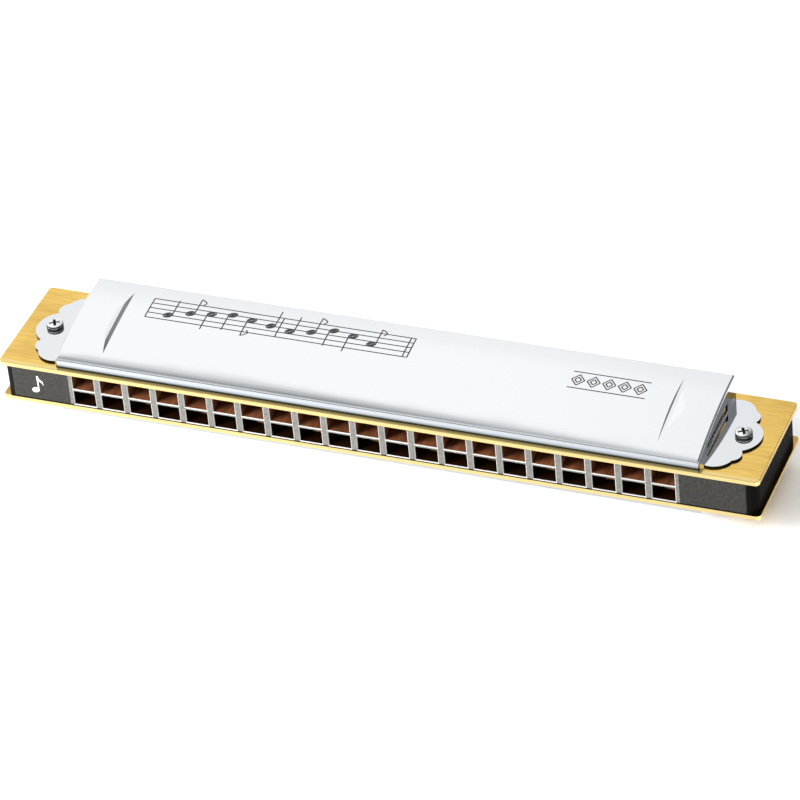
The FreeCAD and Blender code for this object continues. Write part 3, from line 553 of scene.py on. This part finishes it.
class HARMONICA_OT_reeds(bpy.types.Operator):
    """Give the reeds and their pads filed bronze, and the rivets pressed brass."""

    bl_idname = "harmonica.reeds"
    bl_label = "Finish reeds"

    def execute(self, context):
        finish = context.scene.harmonica_finish
        finish_nodes(REED_NODES + ["reed_pads_upper", "reed_pads_lower"], bronze_material(finish))
        finish_nodes(("rivets_upper", "rivets_lower"), turned_metal("rivet_brass", finish.brass, 0.3))
        return {"FINISHED"}


# ---------------------------------------------------------------- cover screws


def screw_blank(head_radius, head_height, shank_radius, shank_length, dome):
    """A cheese-head screw turned about Z with its seat at zero: a grooved rim and a domed top."""
    rim = 0.14 * MM
    groove = 0.08 * MM
    edge = 0.16 * MM
    wall = head_height - dome
    outline = [
        (0.0, -shank_length), (shank_radius * 0.55, -shank_length),
        (shank_radius, -shank_length + shank_radius * 0.6), (shank_radius, 0.0),
        (head_radius - 0.5 * rim, 0.0), (head_radius, 0.5 * rim), (head_radius, 0.38 * wall),
        (head_radius - groove, 0.46 * wall), (head_radius - groove, 0.54 * wall),
        (head_radius, 0.62 * wall), (head_radius, wall - edge),
    ]
    steps = 6
    for step in range(1, steps + 1):
        turn = step / steps * math.pi / 2
        outline.append((head_radius - edge + edge * math.cos(turn), wall - edge + edge * math.sin(turn)))
    crown = head_radius - edge
    for step in range(1, steps + 1):
        share = step / steps
        outline.append((crown * (1 - share), wall + dome * (1 - (1 - share) ** 2)))
    shape = bmesh.new()
    points = [shape.verts.new((radius, 0.0, height)) for radius, height in outline]
    edges = [shape.edges.new(pair) for pair in zip(points, points[1:])]
    bmesh.ops.spin(shape, geom=points + edges, axis=(0, 0, 1), cent=(0, 0, 0),
                   angle=math.tau, steps=48, use_duplicate=False)
    bmesh.ops.remove_doubles(shape, verts=shape.verts, dist=0.002 * MM)
    bmesh.ops.recalc_face_normals(shape, faces=shape.faces)
    return from_bmesh("screw_blank", shape)


def recess_tool(span, width, top, depth):
    """The punch of a cross recess: two tapered blades that meet over a pointed middle."""
    shape = bmesh.new()
    for turn in (0.0, math.pi / 2):
        upper = []
        lower = []
        for x, y in ((-1, -1), (1, -1), (1, 1), (-1, 1)):
            upper.append(shape.verts.new((x * span / 2, y * width / 2, top)))
            lower.append(shape.verts.new((x * span * 0.26, y * width * 0.36, top - depth)))
        faces = [shape.faces.new(reversed(lower)), shape.faces.new(upper)]
        for index in range(4):
            after = (index + 1) % 4
            faces.append(shape.faces.new((lower[index], lower[after], upper[after], upper[index])))
        bmesh.ops.rotate(shape, verts=upper + lower, cent=(0, 0, 0), matrix=Matrix.Rotation(turn, 3, "Z"))
    bmesh.ops.recalc_face_normals(shape, faces=shape.faces)
    return from_bmesh("recess_tool", shape)


def finished_screw(settings, low, high, seat_height):
    """One screw with its recess cut, as a mesh with its seat at zero."""
    head_radius = (high.y - low.y) / 2
    top = high.z - seat_height
    blank = screw_blank(head_radius, top, 0.9 * MM, seat_height - low.z, settings.dome)
    tool = recess_tool(settings.recess_span, settings.recess_width, top + 0.1 * MM, 0.85 * MM)
    cutter = blank.modifiers.new("recess", "BOOLEAN")
    cutter.object = tool
    cutter.operation = "DIFFERENCE"
    cutter.solver = "EXACT"
    cutter.use_self = True
    bpy.context.view_layer.update()
    seen = blank.evaluated_get(bpy.context.evaluated_depsgraph_get())
    mesh = bpy.data.meshes.new_from_object(seen)
    bpy.data.objects.remove(blank)
    bpy.data.objects.remove(tool)
    for polygon in mesh.polygons:
        polygon.use_smooth = True
    return mesh_object("screw_pattern", mesh)


def screw_material(low, high, dome):
    """Bright nickel on the crown, with painted shade down the rim and in the cross recess."""
    material, tree, shader = new_material("screw_nickel")
    shader.inputs["Metallic"].default_value = 1.0
    radius = (high.y - low.y) / 2
    place = add_node(tree, "ShaderNodeSeparateXYZ", {
        "Vector": add_node(tree, "ShaderNodeTexCoord").outputs["Object"]})
    aside = calculate(tree, "SUBTRACT", calculate(tree, "ABSOLUTE", place.outputs["X"]), high.x - radius)
    apart = calculate(tree, "SQRT", calculate(
        tree, "ADD", calculate(tree, "MULTIPLY", aside, aside),
        calculate(tree, "MULTIPLY", place.outputs["Y"], place.outputs["Y"])))
    rise = calculate(tree, "ABSOLUTE", calculate(tree, "SUBTRACT", place.outputs["Z"], MIDDLE_Z))
    on_rim = calculate(tree, "GREATER_THAN", apart, radius - 0.07 * MM)
    share = calculate(tree, "DIVIDE", apart, radius)
    crown = calculate(tree, "SUBTRACT", high.z - MIDDLE_Z,
                      calculate(tree, "MULTIPLY", calculate(tree, "MULTIPLY", share, share), dome))
    sunk = calculate(tree, "GREATER_THAN", calculate(tree, "SUBTRACT", crown, rise), 0.12 * MM)
    in_recess = calculate(tree, "MULTIPLY", sunk, calculate(tree, "LESS_THAN", apart, radius * 0.8))
    # Painted shade: the rim and the cross recess are painted nearly black.
    dark = calculate(tree, "MAXIMUM", on_rim, in_recess)
    specks = noise(tree, 1500.0, 2.0)
    dark = calculate(tree, "MULTIPLY", dark, remap(tree, specks, 0.3, 0.7, 1.0, 0.93))
    tree.links.new(mix_colour(tree, dark, (0.97, 0.97, 0.96, 1.0), (0.03, 0.03, 0.03, 1.0)),
                   shader.inputs["Base Color"])
    tree.links.new(remap(tree, specks, 0.3, 0.7, 0.07, 0.14), shader.inputs["Roughness"])
    bump(tree, shader, specks, 0.08, 0.00002)
    return material


def placing_tree(material):
    """Sets a copy of an object on every point, turned by a shared angle."""
    tree, given, result = node_tree("place_on_points", (
        ("Pattern", "NodeSocketObject"), ("Flip", "NodeSocketFloat"), ("Turn", "NodeSocketFloat")))
    pattern = add_node(tree, "GeometryNodeObjectInfo", {"Object": given.outputs["Pattern"]})
    angles = add_node(tree, "ShaderNodeCombineXYZ", {"Y": given.outputs["Flip"], "Z": given.outputs["Turn"]})
    copies = add_node(tree, "GeometryNodeInstanceOnPoints", {
        "Points": given.outputs["Geometry"], "Instance": pattern.outputs["Geometry"],
        "Rotation": angles.outputs["Vector"]})
    solid = add_node(tree, "GeometryNodeRealizeInstances", {"Geometry": copies.outputs["Instances"]})
    dressed = add_node(tree, "GeometryNodeSetMaterial", {
        "Geometry": solid.outputs["Geometry"], "Material": material})
    tree.links.new(dressed.outputs["Geometry"], result.inputs["Geometry"])
    return tree


class HARMONICA_OT_screws(bpy.types.Operator):
    """Turn the cover screws and set one in each ear."""

    bl_idname = "harmonica.screws"
    bl_label = "Make cover screws"

    def execute(self, context):
        low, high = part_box("cover_screws_upper")
        ear_top = COVER_LOW.z + 0.5 * MM
        material = screw_material(low, high, context.scene.harmonica_screw.dome)
        pattern = finished_screw(context.scene.harmonica_screw, low, high, ear_top)
        tree = placing_tree(material)
        head_radius = (high.y - low.y) / 2
        for side, flip in (("upper", 0.0), ("lower", math.pi)):
            seat = ear_top if side == "upper" else 2 * MIDDLE_Z - ear_top
            mesh = bpy.data.meshes.new(f"cover_screw_pair_{side}")
            mesh.from_pydata([(x, 0.0, seat) for x in (low.x + head_radius, high.x - head_radius)], [], [])
            pair = mesh_object(f"cover_screw_pair_{side}", mesh)
            grow(pair, tree, {"Pattern": pattern, "Flip": flip, "Turn": math.radians(28)})
            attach(pair, BODY)
            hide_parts(f"cover_screws_{side}")
        bpy.data.objects.remove(pattern)
        return {"FINISHED"}


# ---------------------------------------------------------------- engraving and marking


def stroke_tree(material):
    """Lays edges on a surface and gives them a flat rounded section."""
    tree, given, result = node_tree("strokes_on_surface", (
        ("Surface", "NodeSocketObject"), ("Width", "NodeSocketFloat"), ("Rise", "NodeSocketFloat")))
    surface = add_node(tree, "GeometryNodeObjectInfo", {"Object": given.outputs["Surface"]})
    place = add_node(tree, "GeometryNodeInputPosition")
    above = add_node(tree, "ShaderNodeVectorMath", {0: place.outputs["Position"], 1: (0, 0, 0.05)},
                     operation="ADD")
    fall = add_node(tree, "GeometryNodeRaycast", {
        "Target Geometry": surface.outputs["Geometry"], "Source Position": above.outputs["Vector"],
        "Ray Direction": (0, 0, -1), "Ray Length": 0.2})
    laid = add_node(tree, "GeometryNodeSetPosition", {
        "Geometry": given.outputs["Geometry"], "Position": fall.outputs["Hit Position"]})
    lines = add_node(tree, "GeometryNodeMeshToCurve", {"Mesh": laid.outputs["Geometry"]})
    level = add_node(tree, "GeometryNodeSetCurveNormal", {"Curve": lines.outputs["Curve"]}, mode="Z_UP")
    ring = add_node(tree, "GeometryNodeCurvePrimitiveCircle", {"Resolution": 8, "Radius": 1.0})
    half = add_node(tree, "ShaderNodeMath", {0: given.outputs["Width"], 1: 0.5}, operation="MULTIPLY")
    section = add_node(tree, "ShaderNodeCombineXYZ", {
        "X": half.outputs["Value"], "Y": given.outputs["Rise"], "Z": 1.0})
    flat = add_node(tree, "GeometryNodeTransform", {
        "Geometry": ring.outputs["Curve"], "Scale": section.outputs["Vector"]})
    sunk = add_node(tree, "GeometryNodeCurveToMesh", {
        "Curve": level.outputs["Curve"], "Profile Curve": flat.outputs["Geometry"], "Fill Caps": True})
    solid = add_node(tree, "GeometryNodeRealizeInstances", {"Geometry": sunk.outputs["Mesh"]})
    dressed = add_node(tree, "GeometryNodeSetMaterial", {
        "Geometry": solid.outputs["Geometry"], "Material": material})
    tree.links.new(dressed.outputs["Geometry"], result.inputs["Geometry"])
    return tree


def polyline_mesh(name, lines):
    """Open lines of (x, y) points as a mesh of edges over the cover."""
    points = []
    edges = []
    for line in lines:
        first = len(points)
        points += [(x, y, COVER_HIGH.z) for x, y in line]
        edges += [(first + step, first + step + 1) for step in range(len(line) - 1)]
    mesh = bpy.data.meshes.new(name)
    mesh.from_pydata(points, edges, [])
    return mesh_object(name, mesh)


def straight(start, end, steps):
    """Points along a straight line."""
    return [(start[0] + (end[0] - start[0]) * step / steps, start[1] + (end[1] - start[1]) * step / steps)
            for step in range(steps + 1)]


def oval(centre, width, height, tilt, steps=20):
    """A closed leaning oval."""
    points = []
    for step in range(steps + 1):
        angle = math.tau * step / steps
        along = width / 2 * math.cos(angle)
        across = height / 2 * math.sin(angle)
        points.append((centre[0] + along * math.cos(tilt) - across * math.sin(tilt),
                       centre[1] + along * math.sin(tilt) + across * math.cos(tilt)))
    return points


def note_strokes(x, y, space, stem_up=True, flags=0):
    """A note: a leaning head filled with smaller rings, a stem, and its flags."""
    strokes = [oval((x, y), 1.35 * space * scale, 0.9 * space * scale, 0.4) for scale in (1.0, 0.66, 0.32)]
    side = 1 if stem_up else -1
    stem_x = x + side * 0.6 * space
    top = y + side * 3.3 * space
    strokes.append(straight((stem_x, y + side * 0.15 * space), (stem_x, top), 8))
    for flag in range(flags):
        start = top - side * flag * 0.8 * space
        strokes.append([(stem_x + 0.9 * space * math.sin(t * math.pi / 10),
                         start - side * 1.5 * space * t / 10) for t in range(9)])
    return strokes


def staff_strokes(settings):
    """A five-line staff with end bars and a short tune."""
    left = settings.staff_left
    right = settings.staff_right
    space = settings.staff_space
    lines = []
    for line in range(-2, 3):
        y = settings.staff_y + line * space
        lines.append(straight((left, y), (right, y), 60))
    for x in (left, right - 0.7 * space, right, (left + right) / 2):
        lines.append(straight((x, settings.staff_y - 2 * space), (x, settings.staff_y + 2 * space), 12))
    tune = (-2, 0, 1, 2, 1, 0, -1, 0, 2, 1, -1)
    gap = (right - left - 6 * space) / len(tune)
    for index, step in enumerate(tune):
        x = left + 3.2 * space + index * gap
        y = settings.staff_y + step * space / 2
        lines += note_strokes(x, y, space, stem_up=step < 1, flags=index % 3 % 2)
    return lines


def lozenge_strokes(left, right, y, height, count):
    """A row of lozenges, each inside a larger one, between two fine lines."""
    lines = []
    gap = (right - left) / count
    for index in range(count):
        x = left + (index + 0.5) * gap
        for scale in (1.0, 0.5):
            half_w = gap * 0.42 * scale
            half_h = height / 2 * scale
            corners = [(x - half_w, y), (x, y + half_h), (x + half_w, y), (x, y - half_h), (x - half_w, y)]
            for start, end in zip(corners, corners[1:]):
                lines.append(straight(start, end, 5))
    for side in (-1, 1):
        edge = y + side * height * 0.75
        lines.append(straight((left, edge), (right, edge), 24))
    return lines


class HARMONICA_OT_engraving(bpy.types.Operator):
    """Engrave a staff of notes and a row of lozenges in the upper cover."""

    bl_idname = "harmonica.engraving"
    bl_label = "Engrave cover"

    def execute(self, context):
        settings = context.scene.harmonica_engraving
        tree = stroke_tree(painted("engraved_line", context.scene.harmonica_finish.engraving, 0.45))
        drawings = (
            ("engraved_staff", staff_strokes(settings)),
            ("engraved_lozenges", lozenge_strokes(39.0 * MM, 56.0 * MM, 3.6 * MM, 3.2 * MM, 5)),
        )
        for name, strokes in drawings:
            drawing = polyline_mesh(name, strokes)
            grow(drawing, tree, {
                "Surface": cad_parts["cover_upper"], "Width": settings.line_width,
                "Rise": settings.line_rise})
            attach(drawing, BODY)
        return {"FINISHED"}


def flat_shape(name, outline, depth, front_y):
    """A flat outline of (x, z) points as a thin plate that faces the front."""
    shape = bmesh.new()
    front = [shape.verts.new((x, front_y - depth, z)) for x, z in outline]
    back = [shape.verts.new((x, front_y, z)) for x, z in outline]
    shape.faces.new(front)
    shape.faces.new(reversed(back))
    for index in range(len(outline)):
        after = (index + 1) % len(outline)
        shape.faces.new((front[index], back[index], back[after], front[after]))
    bmesh.ops.recalc_face_normals(shape, faces=shape.faces)
    return from_bmesh(name, shape)


def quaver_outline(x, z, size):
    """A quaver: a leaning oval head, a stem and one curved flag."""
    lean = 0.35
    long_half, short_half = 0.2 * size, 0.15 * size
    head = []
    for step in range(25):
        turn = math.radians(30 + step * 300 / 24)
        reach, rise = long_half * math.cos(turn), short_half * math.sin(turn)
        head.append((x - 0.16 * size + reach * math.cos(lean) - rise * math.sin(lean),
                     z - 0.36 * size + reach * math.sin(lean) + rise * math.cos(lean)))
    stem = 0.055 * size
    right = x + 0.03 * size
    flag = [(right, z + 0.5 * size), (right + 0.06 * size, z + 0.34 * size),
            (right + 0.24 * size, z + 0.18 * size), (right + 0.27 * size, z - 0.04 * size),
            (right + 0.2 * size, z + 0.1 * size), (right, z + 0.24 * size)]
    return head + [(right, z - 0.3 * size)] + list(reversed(flag)) + [(right - 1.3 * stem, z + 0.5 * size)]


class HARMONICA_OT_marking(bpy.types.Operator):
    """Print a small note on the comb's front, beside the low holes."""

    bl_idname = "harmonica.marking"
    bl_label = "Print marking"

    def execute(self, context):
        outline = quaver_outline(-76.3 * MM, MIDDLE_Z + 0.1 * MM, 4.3 * MM)
        note = flat_shape("printed_note", outline, 0.03 * MM, COMB_LOW.y)
        note.data.materials.append(painted("white_print", context.scene.harmonica_finish.marking, 0.5))
        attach(note, BODY)
        return {"FINISHED"}


# ---------------------------------------------------------------- stage


def camera_axes(stage):
    """The camera's right, up and backward directions."""
    back = Vector((math.sin(stage.azimuth) * math.cos(stage.elevation),
                   -math.cos(stage.azimuth) * math.cos(stage.elevation), math.sin(stage.elevation)))
    level = Vector((math.cos(stage.azimuth), math.sin(stage.azimuth), 0.0))
    up = back.cross(level)
    right = math.cos(stage.roll) * level + math.sin(stage.roll) * up
    return right, back.cross(right), back


def add_camera(stage):
    """The camera, level with the harmonica's middle and rolled a little."""
    right, up, back = camera_axes(stage)
    camera = bpy.data.cameras.new("camera")
    camera.lens = stage.lens
    camera.sensor_width = 36.0
    camera.clip_end = 50.0
    holder = bpy.data.objects.new("camera", camera)
    place = Vector((0.0, 0.0, MIDDLE_Z)) + back * stage.distance + right * stage.aside
    axes = Matrix((right, up, back)).transposed().to_4x4()
    holder.matrix_world = Matrix.Translation(place) @ axes
    bpy.context.scene.collection.objects.link(holder)
    bpy.context.scene.camera = holder


def add_light(name, place, target, size, power, colour=(1.0, 1.0, 1.0)):
    """A square soft light that looks at a target."""
    light = bpy.data.lights.new(name, "AREA")
    light.shape = "RECTANGLE"
    light.size, light.size_y = size
    light.energy = power
    light.color = colour
    holder = bpy.data.objects.new(name, light)
    holder.location = place
    holder.rotation_euler = (Vector(target) - Vector(place)).to_track_quat("-Z", "Y").to_euler()
    holder.visible_glossy = False
    bpy.context.scene.collection.objects.link(holder)


# The surround's parts, by where a unit direction lies. Each pair is where a part begins and is complete.
SCREEN_RISE = (0.02, 0.3)
SCREEN_FULL = (0.52, 0.74)
SCREEN_RIGHT = (-0.32, 0.0)
SCREEN_DIM = 0.82
RING_TILT = 0.36
RING_OUTER = (1.0155, 1.0245)
RING_INNER = (1.044, 1.06)
RAIL_FRONT = (-0.16, -0.08)
RAIL_BACK = (0.02, 0.12)
RAIL_STRENGTH = 0.5
FRONT_END = (-0.4, -0.24)
FRONT_LOW = (0.05, 0.3)
FRONT_HIGH = (0.87, 0.95)
FRONT_STRENGTH = 0.85
OVERHEAD = (0.88, 0.96)
GREY = (0.2, 0.21, 0.22, 1.0)
OVERHEAD_GREY = (0.09, 0.1, 0.11, 1.0)
SCREEN_WHITE = (1.07, 1.08, 1.09, 1.0)


def studio_world():
    """A grey surround with bright screens to the left and in front, and dark bands overhead."""
    world = bpy.data.worlds.new("studio")
    bpy.context.scene.world = world
    world.use_nodes = True
    tree = world.node_tree
    tree.nodes.clear()
    output = add_node(tree, "ShaderNodeOutputWorld")
    background = add_node(tree, "ShaderNodeBackground", {"Strength": 1.0})
    tree.links.new(background.outputs["Background"], output.inputs["Surface"])
    direction = add_node(tree, "ShaderNodeTexCoord")
    parts = add_node(tree, "ShaderNodeSeparateXYZ", {"Vector": direction.outputs["Generated"]})
    across, along, height = (parts.outputs[axis] for axis in "XYZ")
    rising = smooth_step(tree, height, *SCREEN_RISE)
    fuller = smooth_step(tree, height, *SCREEN_FULL)
    edge = calculate(tree, "SUBTRACT", height, calculate(tree, "MULTIPLY", across, RING_TILT))
    shadow_ring = calculate(tree, "SUBTRACT", smooth_step(tree, edge, *RING_OUTER),
                            smooth_step(tree, edge, *RING_INNER))
    below_top = calculate(tree, "SUBTRACT", 1.0, shadow_ring)
    rail = calculate(tree, "SUBTRACT", smooth_step(tree, along, *RAIL_FRONT),
                     smooth_step(tree, along, *RAIL_BACK))
    behind = calculate(tree, "SUBTRACT", 1.0, calculate(tree, "MULTIPLY", rail, RAIL_STRENGTH))
    leftward = calculate(tree, "SUBTRACT", 1.0, smooth_step(tree, across, *SCREEN_RIGHT))
    in_front = calculate(tree, "SUBTRACT", 1.0, smooth_step(tree, along, *FRONT_END))
    front_band = calculate(tree, "MULTIPLY", smooth_step(tree, height, *FRONT_LOW),
                           calculate(tree, "SUBTRACT", 1.0, smooth_step(tree, height, *FRONT_HIGH)))
    screen = calculate(tree, "MULTIPLY", calculate(tree, "MULTIPLY", rising, below_top),
                       calculate(tree, "MULTIPLY", behind, leftward))
    screen = calculate(tree, "MULTIPLY", screen, remap(tree, fuller, 0.0, 1.0, SCREEN_DIM, 1.0))
    second = calculate(tree, "MULTIPLY", in_front, front_band)
    share = calculate(tree, "MAXIMUM", screen, calculate(tree, "MULTIPLY", second, FRONT_STRENGTH))
    zenith = mix_colour(tree, smooth_step(tree, height, *OVERHEAD), GREY, OVERHEAD_GREY)
    level = mix_colour(tree, share, zenith, SCREEN_WHITE)
    tree.links.new(level, background.inputs["Color"])


def add_floor(size):
    """The pale floor that the harmonica lies on."""
    shape = bmesh.new()
    bmesh.ops.create_grid(shape, x_segments=1, y_segments=1, size=size / 2)
    floor = from_bmesh("floor", shape)
    floor.location.z = -0.02 * MM
    material, _, shader = new_material("pale_floor")
    shader.inputs["Base Color"].default_value = (0.92, 0.92, 0.92, 1.0)
    shader.inputs["Roughness"].default_value = 0.7
    shader.inputs["Specular IOR Level"].default_value = 0.0
    floor.data.materials.append(material)


class HARMONICA_OT_stage(bpy.types.Operator):
    """Set the camera, the pale floor, the surround and the soft lights."""

    bl_idname = "harmonica.stage"
    bl_label = "Set stage"

    def execute(self, context):
        stage = context.scene.harmonica_stage
        add_camera(stage)
        add_floor(stage.floor_size)
        studio_world()
        add_light("key", (-0.42, -0.38, 0.32), (-0.05, 0, 0), (0.3, 0.3), 9.0)
        add_light("overhead", (0.0, 0.0, 1.0), (0, 0, 0), (1.2, 1.2), 6.5)
        context.scene.view_settings.view_transform = "Standard"
        return {"FINISHED"}


class HARMONICA_PT_panel(bpy.types.Panel):
    """Lists the makers and their settings."""

    bl_idname = "HARMONICA_PT_panel"
    bl_label = "Harmonica"
    bl_space_type = "VIEW_3D"
    bl_region_type = "UI"
    bl_category = "Harmonica"

    def draw(self, context):
        for group, kind in GROUPS:
            settings = getattr(context.scene, group)
            box = self.layout.box()
            for name in kind.__annotations__:
                box.prop(settings, name)
        for maker in MAKERS:
            self.layout.operator(maker.bl_idname)


MAKERS = (
    HARMONICA_OT_stage,
    HARMONICA_OT_covers,
    HARMONICA_OT_plates,
    HARMONICA_OT_comb,
    HARMONICA_OT_reeds,
    HARMONICA_OT_screws,
    HARMONICA_OT_engraving,
    HARMONICA_OT_marking,
)


def register():
    """Add the classes and their settings."""
    for name, kind in GROUPS:
        bpy.utils.register_class(kind)
        setattr(bpy.types.Scene, name, bpy.props.PointerProperty(type=kind))
    for kind in (*MAKERS, HARMONICA_PT_panel):
        bpy.utils.register_class(kind)


def unregister():
    """Take the classes and their settings away."""
    for kind in reversed((*MAKERS, HARMONICA_PT_panel)):
        bpy.utils.unregister_class(kind)
    for name, kind in reversed(GROUPS):
        delattr(bpy.types.Scene, name)
        bpy.utils.unregister_class(kind)


def main():
    """Make every piece and the stage."""
    register()
    for maker in MAKERS:
        group, name = maker.bl_idname.split(".")
        getattr(getattr(bpy.ops, group), name)()


if __name__ == "__main__":
    main()
